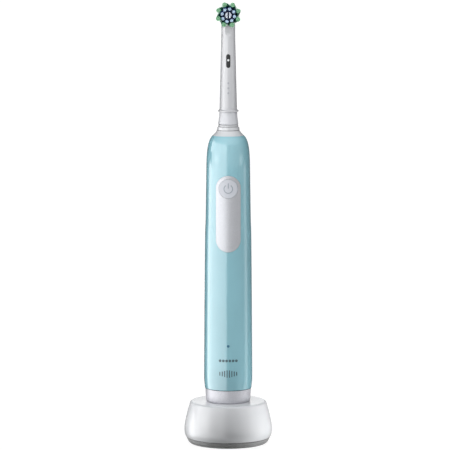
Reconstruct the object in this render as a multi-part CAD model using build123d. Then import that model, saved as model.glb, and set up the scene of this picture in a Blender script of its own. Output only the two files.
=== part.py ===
from build123d import *
import math
import os

# Electric toothbrush standing on its charging base.
# Millimetres, +Z up, front towards -Y.  The origin is on the axis of the handle,
# in the plane that the base's rubber feet rest on.

# ---- charging base -------------------------------------------------------
SEAM_Z = 4.0             # line between the grey base plate and the white shell
SHELL_TOP_Z = 25.0       # flat top that the handle stands on
BASE_R = 22.6            # footprint
BASE_LOW_Z = 0.4
SEAM_R = 24.8
BELLY_R = 25.7           # widest place
BELLY_Z = 6.8
TOP_FACE_R = 22.2
TOP_ROUNDING = 1.7
BASE_WALL = 1.8
PEG_R = 4.5              # post that plugs into the handle
PEG_TOP_Z = 40.0
PEG_BORE_R = 3.2
POST_TIP_ROUNDING = 1.6
RIDGE_PLACES = ((1.75, 23.3), (2.85, 24.2))   # height and radius of the base plate's grooves
FOOT_R = 2.6
FOOT_RING_R = 17.5
CORD_R = 1.75
GLAND_Z = 10.0

# ---- handle --------------------------------------------------------------
CAP_TOP_Z = 33.0         # line between the silver cap and the coloured shell
SHOULDER_Z = 163.0
SHELL_END_Z = 181.7      # line between the coloured shell and the white shoulder
SEAM_WIDTH = 0.4         # grooves that show where two mouldings meet
SEAM_DEPTH = 0.35
CAP_TOP_R = 13.55
SHELL_LOW_R = 13.64
WALL = 1.6
POCKET_R = 4.8           # pocket for the charging peg
POCKET_TOP_Z = 41.0
PANEL_LOW_Z = 114.6      # white grip panel
PANEL_HIGH_Z = 159.2
PANEL_WIDTH = 14.4
PANEL_PROUD = 0.45
PANEL_DEPTH = 0.8
BUTTON_Z = 151.6
BUTTON_R = 5.45
BUTTON_GAP = 0.12
BUTTON_TRAVEL = 0.7
LED_Z = 59.5
LED_R = 0.8
PLUNGER_FRONT_Y = -11.65   # where the button's stem meets the switch
NECK_R = 6.3
NECK_TOP_Z = 186.7
SEAT_R = 5.9
HEAD_LOW_Z = 188.1       # the brush head begins here
SPIGOT_R = 3.9           # stub that the brush head slides over
SPIGOT_TOP_Z = 195.0

# ---- drive ---------------------------------------------------------------
GEAR_MODULE = 0.35
PINION_TEETH = 8
CRANK_TEETH = 24
CENTRES = GEAR_MODULE * (PINION_TEETH + CRANK_TEETH) / 2
CRANK_Y = 5.0            # crank gear's axis, behind the drive shaft
MOTOR_Y = CRANK_Y - CENTRES
MOTOR_TOP_Z = 137.4
GEAR_Z = 139.3
GEAR_THICK = 2.6
CRANK_ARM = 1.2          # eccentricity of the crank pin
CRANK_PIN_R = 0.5
ROCKER_ARM = 2.8
LINK_Z = 142.2
LINK_THICK = 1.4
ROCKER_Z = 145.2
SHAFT_R = 1.5
SHAFT_TOP_Z = 204.0
FIT = 0.05               # radial clearance of a running fit

# ---- power and electronics ----------------------------------------------
BATTERY_R = 7.0
BATTERY_Y = 1.5
BATTERY_LOW_Z = 47.0
BATTERY_HIGH_Z = 95.5
BOARD_BACK_Y = -8.2
BOARD_FRONT_Y = -9.4
BOARD_LOW_Z = 56.0
BOARD_HIGH_Z = 155.0
BOARD_WIDTH = 12.0
CHASSIS_R = 10.8
CHASSIS_WALL = 1.0

# ---- brush head ----------------------------------------------------------
DISC_Z = 252.0           # axis of the oscillating disc
DISC_R = 6.5
DISC_FRONT_Y = -4.4
DISC_BACK_Y = -2.6
HOUSING_R = 6.3
HOUSING_FRONT_Y = -2.4
HOUSING_BACK_Y = 4.0
POCKET_FLOOR_Y = 0.9
AXLE_R = 0.7
WIRE_R = 0.7
WIRE_PIN_R = 0.45
WIRE_THROW = 1.5         # offset of the wire's cranked end
FLANGE_Z = 195.7
FLANGE_R = 6.0
BRISTLE_TIP_Y = -12.0
SCOOP_Y = -3.65          # shallow flat on the neck under the disc
SCOOP_Z = 241.4
SCOOP_R = 3.9

os.makedirs("parts", exist_ok=True)


def save(name, *shapes):
    """Write one sub-part, of one or more solids, as parts/NAME.step."""
    solids = [solid for shape in shapes for solid in shape.solids()]
    whole = solids[0] if len(solids) == 1 else Compound(children=solids)
    export_step(whole, f"parts/{name}.step")


def rod(radius, low, high, x=0.0, y=0.0):
    """Upright cylinder between two heights."""
    return Pos(x, y, (low + high) / 2) * Cylinder(radius, high - low)


def rod_y(radius, front, back, x=0.0, z=0.0):
    """Cylinder that lies front to back."""
    return Pos(x, (front + back) / 2, z) * Rot(90, 0, 0) * Cylinder(radius, back - front)


def block(low, high):
    """Box between two corners."""
    size = [b - a for a, b in zip(low, high)]
    middle = [(a + b) / 2 for a, b in zip(low, high)]
    return Pos(*middle) * Box(*size)


def turned(*edges):
    """Solid of revolution about the Z axis from edges drawn as (radius, height)."""
    face = make_face(Plane.XZ * (Curve() + [edge for edge in edges]))
    return revolve(face, Axis.Z)


def seam(radius, height):
    """Ring that cuts a narrow groove round something of a given radius."""
    low = height - SEAM_WIDTH / 2
    high = height + SEAM_WIDTH / 2
    return rod(radius + 2, low, high) - rod(radius - SEAM_DEPTH, low - 1, high + 1)


def ring_of(count, radius, start_degrees=0.0):
    """Places spread evenly round the Z axis."""
    for index in range(count):
        angle = math.radians(start_degrees + 360.0 * index / count)
        yield radius * math.cos(angle), radius * math.sin(angle)


# ---- charging base -------------------------------------------------------
def shell_outline(inset):
    """Outside of the charger from the seam to the top rim, moved inwards by inset."""
    return Spline(
        (SEAM_R - inset, SEAM_Z),
        (BELLY_R - inset, BELLY_Z),
        (25.2 - inset, 13.4),
        (23.6 - inset, 20.3),
        (TOP_FACE_R - inset, SHELL_TOP_Z - inset * 0.9),
        tangents=[(0.55, 1), (-0.3, 1)],
    )


def charger_body(inset):
    """Solid body inside the side and top of the charger's housing."""
    top = SHELL_TOP_Z - inset * 0.9
    return turned(
        *shell_outline(inset).edges(),
        Line((TOP_FACE_R - inset, top), (0, top)),
        Line((0, top), (0, SEAM_Z)),
        Line((0, SEAM_Z), (SEAM_R - inset, SEAM_Z)),
    )


def charger_shell():
    """White housing and its post, one moulding, open underneath."""
    outer = charger_body(0)
    outer = fillet(outer.edges().sort_by(Axis.Z)[-1], TOP_ROUNDING)
    post = rod(PEG_R, SHELL_TOP_Z - 1, PEG_TOP_Z)
    post = fillet(post.edges().sort_by(Axis.Z)[-1], POST_TIP_ROUNDING)
    shell = outer + post - charger_body(BASE_WALL)
    shell -= rod(PEG_BORE_R, SHELL_TOP_Z - BASE_WALL - 1, PEG_TOP_Z - 1.3)
    shell -= seam(SEAM_R, SEAM_Z)
    return shell - rod_y(CORD_R + 1.6, 15, 30, z=GLAND_Z)


def charger_base():
    """Grey plate that closes the housing, with two grooves round it and a rim that locates inside."""
    foot_r = BASE_R - 0.6
    side = Spline(
        (foot_r, BASE_LOW_Z),
        (BASE_R + 0.5, BASE_LOW_Z + 0.6),
        (SEAM_R, SEAM_Z),
        tangents=[(1, 0.1), (0.75, 1)],
    )
    rest = Polyline((SEAM_R, SEAM_Z), (0, SEAM_Z), (0, BASE_LOW_Z), (foot_r, BASE_LOW_Z))
    plate = turned(side, *rest.edges())
    inside = SEAM_R - BASE_WALL - 0.1
    plate -= rod(inside - 1.4, 2.0, SEAM_Z + 1)
    plate += rod(inside, SEAM_Z - 0.2, SEAM_Z + 1.0) - rod(inside - 1.4, SEAM_Z - 1, SEAM_Z + 3)
    plate -= seam(SEAM_R, SEAM_Z)
    for height, radius in RIDGE_PLACES:
        plate -= seam(radius, height)
    for x, y in ring_of(4, FOOT_RING_R, 45):
        plate -= rod(FOOT_R, 0, 1.2, x, y)
    for x, y in board_pillars():
        plate += rod(1.6, 1.8, 5.0, x, y)
    return plate


def rubber_feet():
    return [rod(FOOT_R, 0, 1.2, x, y) for x, y in ring_of(4, FOOT_RING_R, 45)]


def board_pillars():
    return [(-14.0, -4.0), (-14.0, 4.0), (14.0, -4.0), (14.0, 4.0)]


def charger_board():
    """Round power board that carries the coil."""
    return rod(17.5, 5.0, 6.2) - rod(3.0, 4, 8)


def charger_board_parts():
    """Capacitors, bridge and transformer can soldered to the round board."""
    drum = rod(3.0, 6.2, 14.2, -13.2, 3.0)
    film = block((-15.5, -7.5, 6.2), (-11.5, -1.5, 12.0))
    bridge = block((11.6, -6.0, 6.2), (15.6, -2.0, 9.2))
    fuse = Pos(13.2, 3.2, 7.6) * Rot(90, 0, 0) * Cylinder(1.4, 7.0)
    return [drum, film, bridge, fuse]


def primary_bobbin():
    """Spool round the ferrite rod, standing on the board."""
    spool = rod(4.1, 6.2, 20.6)
    spool += rod(10.2, 6.2, 7.2)
    spool += rod(10.2, 19.6, 20.6)
    return spool - rod(2.9, 5, 22)


def primary_coil():
    return rod(9.6, 7.3, 19.5) - rod(4.15, 7, 20)


def ferrite_rod():
    return rod(2.8, 6.4, PEG_TOP_Z - 1.6)


def cord_gland():
    """Rubber grommet at the back that the mains cord would leave through."""
    collar = rod_y(CORD_R + 3.0, 20.2, 21.8, z=GLAND_Z)
    neck = rod_y(CORD_R + 1.55, 21.7, 25.3, z=GLAND_Z)
    lip = rod_y(CORD_R + 2.4, 25.7, 26.5, z=GLAND_Z)
    whole = collar + neck + rod_y(CORD_R + 1.55, 25.2, 25.8, z=GLAND_Z) + lip
    return whole - rod_y(CORD_R, 19, 28, z=GLAND_Z)


# ---- handle --------------------------------------------------------------
def handle_outline(inset):
    """Side of the coloured shell, moved inwards by inset: a long gentle curve and a rounded shoulder."""
    places = [
        (SHELL_LOW_R, CAP_TOP_Z),
        (14.06, 36.8),
        (14.19, 42.0),
        (14.12, 54.0),
        (13.93, 85.0),
        (13.46, 127.3),
        (12.80, SHOULDER_Z),
    ]
    side = Spline(
        [(radius - inset, height) for radius, height in places],
        tangents=[(0.12, 1), (-0.012, 1)],
    )
    shoulder = Bezier(
        (12.80 - inset, SHOULDER_Z),
        (12.67 - inset, SHOULDER_Z + 11),
        (11.75 - inset, 179.3),
        (9.2 - inset, SHELL_END_Z),
    )
    return [side, shoulder]


def handle_body(inset):
    """Solid body inside the side of the shell."""
    return turned(
        *handle_outline(inset),
        Line((9.2 - inset, SHELL_END_Z), (0, SHELL_END_Z)),
        Line((0, SHELL_END_Z), (0, CAP_TOP_Z)),
        Line((0, CAP_TOP_Z), (SHELL_LOW_R - inset, CAP_TOP_Z)),
    )


def panel_prism(margin=0.0):
    """Stadium-shaped block that cuts the front of the handle."""
    height = PANEL_HIGH_Z - PANEL_LOW_Z + 2 * margin
    width = PANEL_WIDTH + 2 * margin
    outline = SlotOverall(height, width, rotation=90)
    middle = (PANEL_HIGH_Z + PANEL_LOW_Z) / 2
    return extrude(Plane(origin=(0, -5, middle), x_dir=(1, 0, 0), z_dir=(0, -1, 0)) * outline, 14)


def handle_shell():
    """Coloured tube with a recess for the grip panel."""
    shell = handle_body(0) - handle_body(WALL)
    recess = panel_prism() - handle_body(PANEL_DEPTH)
    shell -= recess
    shell -= seam(SHELL_LOW_R, CAP_TOP_Z)
    shell -= rod_y(BUTTON_R - 1.2, -16, -6, z=BUTTON_Z)
    shell -= rod_y(LED_R, -16, -6, z=LED_Z)
    return shell


def grip_panel():
    """Soft white pill set in the shell, with a round hole for the button."""
    panel = panel_prism(-0.02) & (handle_body(-PANEL_PROUD) - handle_body(PANEL_DEPTH))
    rim = panel.faces().filter_by(lambda f: abs(f.normal_at().Z) < 0.3).sort_by(Axis.Y)[0]
    panel = fillet(rim.outer_wire().edges(), 0.35)
    return panel - rod_y(BUTTON_R + BUTTON_GAP, -16, -6, z=BUTTON_Z)


def power_button():
    """Round button that follows the panel's curve, with a stem to the switch."""
    cap = rod_y(BUTTON_R, -15, -11.9, z=BUTTON_Z) & handle_body(-PANEL_PROUD - 0.25)
    cap -= handle_body(PANEL_DEPTH - BUTTON_TRAVEL - 0.05)
    stem = rod_y(2.0, -13.2, PLUNGER_FRONT_Y, z=BUTTON_Z)
    return cap + stem


def bottom_cap():
    """Silver end cap with the pocket for the charging peg."""
    foot_r = CAP_TOP_R - 0.6
    low = SHELL_TOP_Z
    bend = ThreePointArc((foot_r - 1.05, low), (foot_r - 0.3, low + 0.35), (foot_r, low + 1.1))
    rest = Polyline(
        (foot_r, SHELL_TOP_Z + 1.1),
        (CAP_TOP_R, CAP_TOP_Z),
        (11.8, CAP_TOP_Z),
        (11.8, 38.0),
        (10.7, 38.0),
        (10.7, 27.0),
        (5.9, 27.0),
        (5.9, POCKET_TOP_Z + 1.0),
        (0, POCKET_TOP_Z + 1.0),
        (0, POCKET_TOP_Z),
        (POCKET_R, POCKET_TOP_Z),
        (POCKET_R, SHELL_TOP_Z),
        (foot_r - 1.05, SHELL_TOP_Z),
    )
    skin = turned(bend, *rest.edges()) - seam(CAP_TOP_R, CAP_TOP_Z)
    groove = rod(13, 34.6, 36.0) - rod(11.1, 34, 37)
    return skin - groove


def bottom_seal():
    """O-ring between the end cap and the shell."""
    return rod(12.1, 34.7, 35.9) - rod(11.1, 34, 37)


def neck_cap():
    """White shoulder and the stub that the brush head slides over."""
    shoulder = Spline((9.2, SHELL_END_Z), (7.7, 183.2), (6.75, 184.6), tangents=[(-1, 0.95), (-0.35, 1)])
    rest = Polyline(
        (6.75, 184.6),
        (6.3, 184.6),
        (6.3, 184.95),
        (6.65, 184.95),
        (NECK_R, NECK_TOP_Z),
        (5.6, NECK_TOP_Z),
        (5.6, NECK_TOP_Z + 0.4),
        (SEAT_R, NECK_TOP_Z + 0.4),
        (SEAT_R, HEAD_LOW_Z - 0.4),
        (SEAT_R - 0.3, HEAD_LOW_Z - 0.1),
        (SPIGOT_R, HEAD_LOW_Z - 0.1),
        (SPIGOT_R, SPIGOT_TOP_Z),
        (2.8, SPIGOT_TOP_Z),
        (2.8, 191.0),
        (1.8, 191.0),
        (1.8, 184.0),
        (2.8, 184.0),
        (2.8, 178.5),
        (4.6, 178.5),
        (4.6, 182.2),
        (6.2, 181.2),
        (6.2, 178.5),
        (7.5, 178.5),
        (7.5, SHELL_END_Z),
        (9.2, SHELL_END_Z),
    )
    return turned(shoulder, *rest.edges())


def upper_bushing():
    return rod(2.8, 179.5, 184.0) - rod(SHAFT_R + FIT, 179, 185)


def shaft_seal():
    return rod(2.8, 191.0, 194.6) - rod(SHAFT_R + FIT, 190, 196)


def coil_bobbin():
    spool = rod(6.8, 29.0, 41.0)
    spool += rod(10.3, 29.0, 30.0)
    spool += rod(10.3, 40.0, 41.0)
    return spool - rod(5.95, 28, 42)


def secondary_coil():
    return rod(9.8, 30.1, 39.9) - rod(6.85, 29, 41)


def coil_leads():
    return [rod(0.35, 41.0, BOARD_LOW_Z, x, -8.8) for x in (-4.5, 4.5)]


def chassis():
    """Carrier that holds the cell, the motor, the gears and the shaft."""
    frame = rod(CHASSIS_R, 44.0, 152.0) - block((-12, -12, 43), (12, -7.4, 153))
    for low, high in ((45.6, 97.0), (98.6, MOTOR_TOP_Z), (MOTOR_TOP_Z + 1.4, 149.6)):
        frame -= rod(CHASSIS_R - CHASSIS_WALL, low, high)
        frame -= block((-12, -12, low), (12, 2.0, high))
    frame -= rod(2.6, MOTOR_TOP_Z - 1, MOTOR_TOP_Z + 2, 0, MOTOR_Y)
    frame -= rod(0.7, MOTOR_TOP_Z - 1, MOTOR_TOP_Z + 2, 0, CRANK_Y)
    frame -= rod(3.0, 149, 153)
    for x in motor_screw_places():
        frame -= rod(0.7, MOTOR_TOP_Z - 1, MOTOR_TOP_Z + 2, x, MOTOR_Y)
    for z in (62, 74, 86):
        frame -= block((-2.5, 5, z - 3), (2.5, 12, z + 3))
    return frame


def motor_screw_places():
    return (-5.2, 5.2)


def lower_bushing():
    return rod(3.0, 149.6, 152.0) - rod(SHAFT_R + FIT, 149, 153)


def battery_cell():
    body = fillet(rod(BATTERY_R, BATTERY_LOW_Z, BATTERY_HIGH_Z, 0, BATTERY_Y).edges(), 0.5)
    return body + rod(2.6, BATTERY_HIGH_Z - 0.1, BATTERY_HIGH_Z + 0.9, 0, BATTERY_Y)


def battery_contacts():
    """Spring plates under and over the cell, each with a tab to the board."""
    cap_z = BATTERY_HIGH_Z + 0.9
    contacts = []
    for low, high in ((BATTERY_LOW_Z - 0.5, BATTERY_LOW_Z), (cap_z, cap_z + 0.4)):
        tab = block((-1.2, BOARD_BACK_Y, low), (1.2, -2.5, high))
        contacts.append(rod(5.0, low, high, 0, BATTERY_Y) + tab)
    riser = block((-1.2, BOARD_BACK_Y, BATTERY_LOW_Z - 0.5), (1.2, BOARD_BACK_Y + 0.4, BOARD_LOW_Z + 3))
    return [contacts[0] + riser, contacts[1]]


def circuit_board():
    half = BOARD_WIDTH / 2
    return block((-half, BOARD_FRONT_Y, BOARD_LOW_Z), (half, BOARD_BACK_Y, BOARD_HIGH_Z))


def board_chips():
    """Controller, charging chip, coil and motor drivers on the back of the board."""
    back = BOARD_BACK_Y
    controller = block((-3.0, back, 100.0), (3.0, back + 1.0, 106.0))
    charger_chip = block((-5.5, back, 64.0), (-2.5, back + 1.0, 69.0))
    driver = block((2.0, back, 110.5), (5.0, back + 1.0, 113.5))
    clock = block((-5.8, back, 110.5), (-3.2, back + 1.0, 115.5))
    return [controller, charger_chip, driver, clock]


def switch_body():
    body = block((-2.6, -10.9, BUTTON_Z - 2.6), (2.6, BOARD_FRONT_Y, BUTTON_Z + 2.6))
    return body - rod_y(1.15, -12, BOARD_FRONT_Y - 0.2, z=BUTTON_Z)


def switch_plunger():
    return rod_y(1.1, PLUNGER_FRONT_Y, BOARD_FRONT_Y - 1.0, z=BUTTON_Z)


def led_chip():
    return block((-0.9, BOARD_FRONT_Y - 0.8, LED_Z - 0.6), (0.9, BOARD_FRONT_Y, LED_Z + 0.6))


def light_pipe():
    pipe = rod_y(LED_R, -14.15, BOARD_FRONT_Y - 0.9, z=LED_Z)
    return pipe + rod_y(LED_R + 0.6, -12.2, -11.4, z=LED_Z)


def motor_outline(inset, low, high):
    """Round can with two flats, front and back."""
    can = rod(7.6 - inset, low, high, 0, MOTOR_Y)
    flats = block((-8, MOTOR_Y - 6.0 + inset, low), (8, MOTOR_Y + 6.0 - inset, high))
    return can & flats


def motor_can():
    can = motor_outline(0, 113.4, MOTOR_TOP_Z) - motor_outline(0.6, 112, MOTOR_TOP_Z - 0.8)
    can += rod(2.5, MOTOR_TOP_Z - 0.1, MOTOR_TOP_Z + 0.7, 0, MOTOR_Y)
    can -= rod(1.0 + FIT, MOTOR_TOP_Z - 2, MOTOR_TOP_Z + 1, 0, MOTOR_Y)
    for x in motor_screw_places():
        can -= rod(0.7, MOTOR_TOP_Z - 1, MOTOR_TOP_Z + 1, x, MOTOR_Y)
    return can


def motor_end_cap():
    cap = motor_outline(0, 111.2, 113.4)
    return cap - rod(1.0 + FIT, 111.9, 114, 0, MOTOR_Y)


def motor_magnets():
    """Two curved magnets glued inside the can."""
    ring = rod(6.9, 116.0, 133.5, 0, MOTOR_Y) - rod(5.5, 115, 135, 0, MOTOR_Y)
    sides = []
    for low, high in ((-8.0, -3.4), (3.4, 8.0)):
        sides.append(ring & block((low, MOTOR_Y - 5.2, 115), (high, MOTOR_Y + 5.2, 135)))
    return sides


def motor_armature():
    """Wound rotor, its commutator and the output shaft."""
    shaft = rod(1.0, 112.0, GEAR_Z + GEAR_THICK + 0.2, 0, MOTOR_Y)
    shaft -= rod(1.0, MOTOR_TOP_Z + 1.0, 143, 0, MOTOR_Y) - rod(0.6, 137, 144, 0, MOTOR_Y)
    core = rod(5.0, 117.0, 132.5, 0, MOTOR_Y)
    for x, y in ring_of(3, 5.0, 30):
        core -= rod(1.1, 116, 134, x, y + MOTOR_Y)
    commutator = rod(2.0, 114.2, 117.1, 0, MOTOR_Y)
    return shaft + core + commutator


def motor_screws():
    """Two slotted screws that hold the motor under its shelf."""
    head_z = MOTOR_TOP_Z + 1.4
    screws = []
    for x in motor_screw_places():
        screw = rod(0.7, MOTOR_TOP_Z - 0.8, head_z + 0.1, x, MOTOR_Y)
        screw += rod(1.3, head_z, head_z + 0.9, x, MOTOR_Y)
        slot = block((x - 1.3, MOTOR_Y - 0.2, head_z + 0.5), (x + 1.3, MOTOR_Y + 0.2, head_z + 2))
        screws.append(screw - slot)
    return screws


def motor_leads():
    """Two short wires from the motor's end cap to the board."""
    return [rod_y(0.35, BOARD_BACK_Y, MOTOR_Y - 6.0, x=x, z=112.3) for x in (-1.8, 0.6)]


# ---- gears and linkage ---------------------------------------------------
def gear(teeth, low, high, x, y, start_degrees):
    """Spur gear whose slim teeth leave running backlash."""
    pitch_r = GEAR_MODULE * teeth / 2
    root_r = pitch_r - 1.15 * GEAR_MODULE
    tip_r = pitch_r + 0.8 * GEAR_MODULE
    step = 360.0 / teeth
    places = []
    for index in range(teeth):
        middle = start_degrees + index * step
        for radius, share in ((root_r, -0.30), (pitch_r, -0.205), (tip_r, -0.09),
                              (tip_r, 0.09), (pitch_r, 0.205), (root_r, 0.30)):
            angle = math.radians(middle + share * step)
            places.append((x + radius * math.cos(angle), y + radius * math.sin(angle)))
    outline = make_face(Polyline(*places, close=True))
    return extrude(Pos(0, 0, low) * outline, high - low)


def drive_pinion():
    """A tooth of the pinion points at the crank gear."""
    pinion = gear(PINION_TEETH, GEAR_Z, GEAR_Z + GEAR_THICK, 0, MOTOR_Y, 90)
    return pinion - rod(0.6, GEAR_Z - 1, GEAR_Z + GEAR_THICK + 1, 0, MOTOR_Y)


def crank_gear():
    """A gap of the gear takes the pinion's tooth; the crank pin stands on its face."""
    half_step = 180.0 / CRANK_TEETH
    wheel = gear(CRANK_TEETH, GEAR_Z, GEAR_Z + GEAR_THICK - 0.2, 0, CRANK_Y, -90 + half_step)
    return wheel - rod(0.7 + FIT, GEAR_Z - 1, GEAR_Z + 1.6, 0, CRANK_Y)


def gear_axle():
    return rod(0.7, MOTOR_TOP_Z, GEAR_Z + 1.5, 0, CRANK_Y)


def crank_pin():
    return rod(CRANK_PIN_R, GEAR_Z + GEAR_THICK - 0.2, LINK_Z + LINK_THICK, CRANK_ARM, CRANK_Y)


def connecting_link():
    """Bar from the crank pin to just under the rocker pin."""
    start = Vector(CRANK_ARM, CRANK_Y, 0)
    end = Vector(ROCKER_ARM, 0, 0)
    reach = end - start
    turn = math.degrees(math.atan2(reach.Y, reach.X))
    bar = Pos(0, 0, LINK_Z) * Pos(start.X, start.Y, 0) * Rot(0, 0, turn) * Pos(reach.length / 2, 0, 0)
    bar = bar * extrude(SlotCenterToCenter(reach.length, 2.0), LINK_THICK)
    return bar - rod(CRANK_PIN_R + FIT, LINK_Z - 1, LINK_Z + LINK_THICK + 1, start.X, start.Y)


def rocker_arm():
    """Arm on the foot of the drive shaft."""
    arm = rod(2.8, ROCKER_Z, ROCKER_Z + 3.2)
    arm += Pos(ROCKER_ARM / 2, 0, ROCKER_Z) * extrude(SlotCenterToCenter(ROCKER_ARM, 2.2), 1.8)
    arm -= rod(SHAFT_R, ROCKER_Z - 1, ROCKER_Z + 5)
    return arm - rod(CRANK_PIN_R, ROCKER_Z - 1, ROCKER_Z + 5, ROCKER_ARM, 0)


def rocker_pin():
    return rod(CRANK_PIN_R, LINK_Z + LINK_THICK + 0.2, ROCKER_Z + 1.8, ROCKER_ARM, 0)


def drive_shaft():
    """Steel shaft, flattened near its tip to turn the brush head's socket."""
    shaft = rod(SHAFT_R, ROCKER_Z, SHAFT_TOP_Z)
    return shaft - block((-2, 1.0, 197.0), (2, 2, SHAFT_TOP_Z + 1))


# ---- brush head ----------------------------------------------------------
def head_tube():
    """White neck and the round housing behind the disc, one moulding."""
    neck = turned(
        Line((0, FLANGE_Z), (FLANGE_R, FLANGE_Z)),
        Line((FLANGE_R, FLANGE_Z), (FLANGE_R, FLANGE_Z + 0.6)),
        Line((FLANGE_R, FLANGE_Z + 0.6), (5.1, FLANGE_Z + 1.3)),
        Spline(
            (5.1, FLANGE_Z + 1.3),
            (4.98, 202.0),
            (4.65, 214.0),
            (4.38, 226.0),
            (4.07, 238.0),
            (4.05, 247.0),
        ),
        Line((4.05, 247.0), (0, 247.0)),
        Line((0, 247.0), (0, FLANGE_Z)),
    )
    sleeve = rod(4.6, HEAD_LOW_Z, FLANGE_Z + 0.1)
    housing = rod_y(HOUSING_R, HOUSING_FRONT_Y, HOUSING_BACK_Y, z=DISC_Z)
    housing = fillet(housing.edges().sort_by(Axis.Y)[-1], 2.4)
    whole = neck + sleeve + housing
    scoop = block((-7, -8, SCOOP_Z), (7, SCOOP_Y, SCOOP_Z + 5))
    scoop += Pos(0, SCOOP_Y - SCOOP_R, SCOOP_Z) * Rot(0, 90, 0) * Cylinder(SCOOP_R, 14)
    scoop += block((-7, -8, DISC_Z - DISC_R - 0.4), (7, HOUSING_FRONT_Y, DISC_Z + DISC_R + 1))
    whole -= scoop
    whole -= rod(4.0, HEAD_LOW_Z - 1, SPIGOT_TOP_Z + 0.6)
    whole -= rod(3.45, SPIGOT_TOP_Z, 207.2)
    whole -= rod(1.6, 207, 240.2)
    whole -= rod(1.3, 240, 247.5)
    whole -= rod_y(5.6, -6, POCKET_FLOOR_Y, z=DISC_Z)
    return whole - rod_y(AXLE_R, -1, HOUSING_BACK_Y - 0.6, z=DISC_Z)


def id_ring():
    """Ring round the foot of the brush head."""
    edge_z = HEAD_LOW_Z + 0.35
    side = Spline((SEAT_R, edge_z), (5.45, 191.6), (5.2, FLANGE_Z), tangents=[(-0.1, 1), (-0.02, 1)])
    rest = Polyline(
        (5.2, FLANGE_Z),
        (4.6, FLANGE_Z),
        (4.6, HEAD_LOW_Z),
        (SEAT_R - 0.35, HEAD_LOW_Z),
        (SEAT_R, edge_z),
    )
    return turned(side, *rest.edges())


def drive_socket():
    """Plastic cup that grips the flattened shaft."""
    bore = rod(SHAFT_R + FIT, 195, 204.4) - block((-2, 1.0 + FIT, 197.3), (2, 2, 205))
    return rod(3.3, 195.8, 207.0) - bore - rod(WIRE_R, 205.4, 208)


def crank_wire():
    """Steel wire up the neck; its cranked end stands in the disc's slot."""
    wire = rod(WIRE_R, 205.4, 246.9)
    arm = block((-0.55, -WIRE_THROW, 246.6), (0.55, 0, 247.4))
    arm += rod(0.55, 246.6, 247.4, 0, -WIRE_THROW) + rod(WIRE_R, 246.6, 247.4)
    return wire + arm + rod(WIRE_PIN_R, 247.0, 250.8, 0, -WIRE_THROW)


def wire_guide():
    return rod(1.6, 236.0, 240.0) - rod(WIRE_R + FIT, 235, 241)


def disc_axle():
    return rod_y(AXLE_R, DISC_FRONT_Y + 0.8, HOUSING_BACK_Y - 0.6, z=DISC_Z)


def brush_disc():
    """Round tuft carrier with a slotted boss behind it."""
    disc = rod_y(DISC_R, DISC_FRONT_Y, DISC_BACK_Y, z=DISC_Z)
    disc = fillet(disc.edges().sort_by(Axis.Y)[0], 0.5)
    disc += rod_y(4.0, DISC_BACK_Y - 0.1, -0.4, z=DISC_Z)
    slot = make_face(Polyline((-0.62, -1.05), (0.62, -1.05), (2.3, -4.4), (-2.3, -4.4), close=True))
    slot = Plane(origin=(0, DISC_BACK_Y, DISC_Z), x_dir=(1, 0, 0), z_dir=(0, -1, 0)) * slot
    disc -= extrude(slot, -3)
    return disc - rod_y(AXLE_R + FIT, DISC_FRONT_Y + 0.7, 1, z=DISC_Z)


def tuft(radius, spread, degrees, lean=0.0):
    """One round bundle of bristles; lean tilts it sideways round the disc."""
    angle = math.radians(degrees)
    place = Pos(spread * math.cos(angle), DISC_FRONT_Y, DISC_Z + spread * math.sin(angle))
    length = DISC_FRONT_Y - BRISTLE_TIP_Y
    bundle = Pos(0, -length / 2, 0) * Rot(90, 0, 0) * Cylinder(radius, length)
    return place * Rot(0, -degrees, 0) * Rot(lean, 0, 0) * bundle


def bristles_outer():
    """Eight bundles round the edge, cut off flush where they lean into the disc."""
    front = rod_y(9, -20, DISC_FRONT_Y, z=DISC_Z)
    return [tuft(1.05, 5.2, 21.5 + 45 * index, 8) & front for index in range(8)]


def bristles_middle():
    return [tuft(0.8, 3.3, 33 + 45 * index) for index in range(8)]


def bristles_centre():
    """Two half-round bundles with a gap between their flat sides."""
    core = rod_y(1.9, BRISTLE_TIP_Y + 1.0, DISC_FRONT_Y, z=DISC_Z)
    return [
        core & block((0.3, -20, DISC_Z - 3), (3, 0, DISC_Z + 3)),
        core & block((-3, -20, DISC_Z - 3), (-0.3, 0, DISC_Z + 3)),
    ]


SINGLE = [
    charger_shell, charger_base, charger_board, primary_bobbin, primary_coil, ferrite_rod, cord_gland,
    handle_shell, grip_panel, power_button, bottom_cap, bottom_seal, neck_cap, upper_bushing, shaft_seal,
    coil_bobbin, secondary_coil, chassis, lower_bushing, battery_cell, circuit_board, switch_body,
    switch_plunger, led_chip, light_pipe, motor_can, motor_end_cap, motor_armature, drive_pinion,
    crank_gear, gear_axle, crank_pin, connecting_link, rocker_arm, rocker_pin, drive_shaft,
    head_tube, id_ring, drive_socket, crank_wire, wire_guide, disc_axle, brush_disc,
]
GROUPS = [
    rubber_feet, charger_board_parts, coil_leads, battery_contacts, board_chips, motor_magnets,
    motor_screws, motor_leads, bristles_outer, bristles_middle, bristles_centre,
]

for make in SINGLE:
    save(make.__name__, make())
for make in GROUPS:
    save(make.__name__, *make())
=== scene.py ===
import math
import random

import bpy
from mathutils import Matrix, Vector
from mathutils.bvhtree import BVHTree


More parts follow.
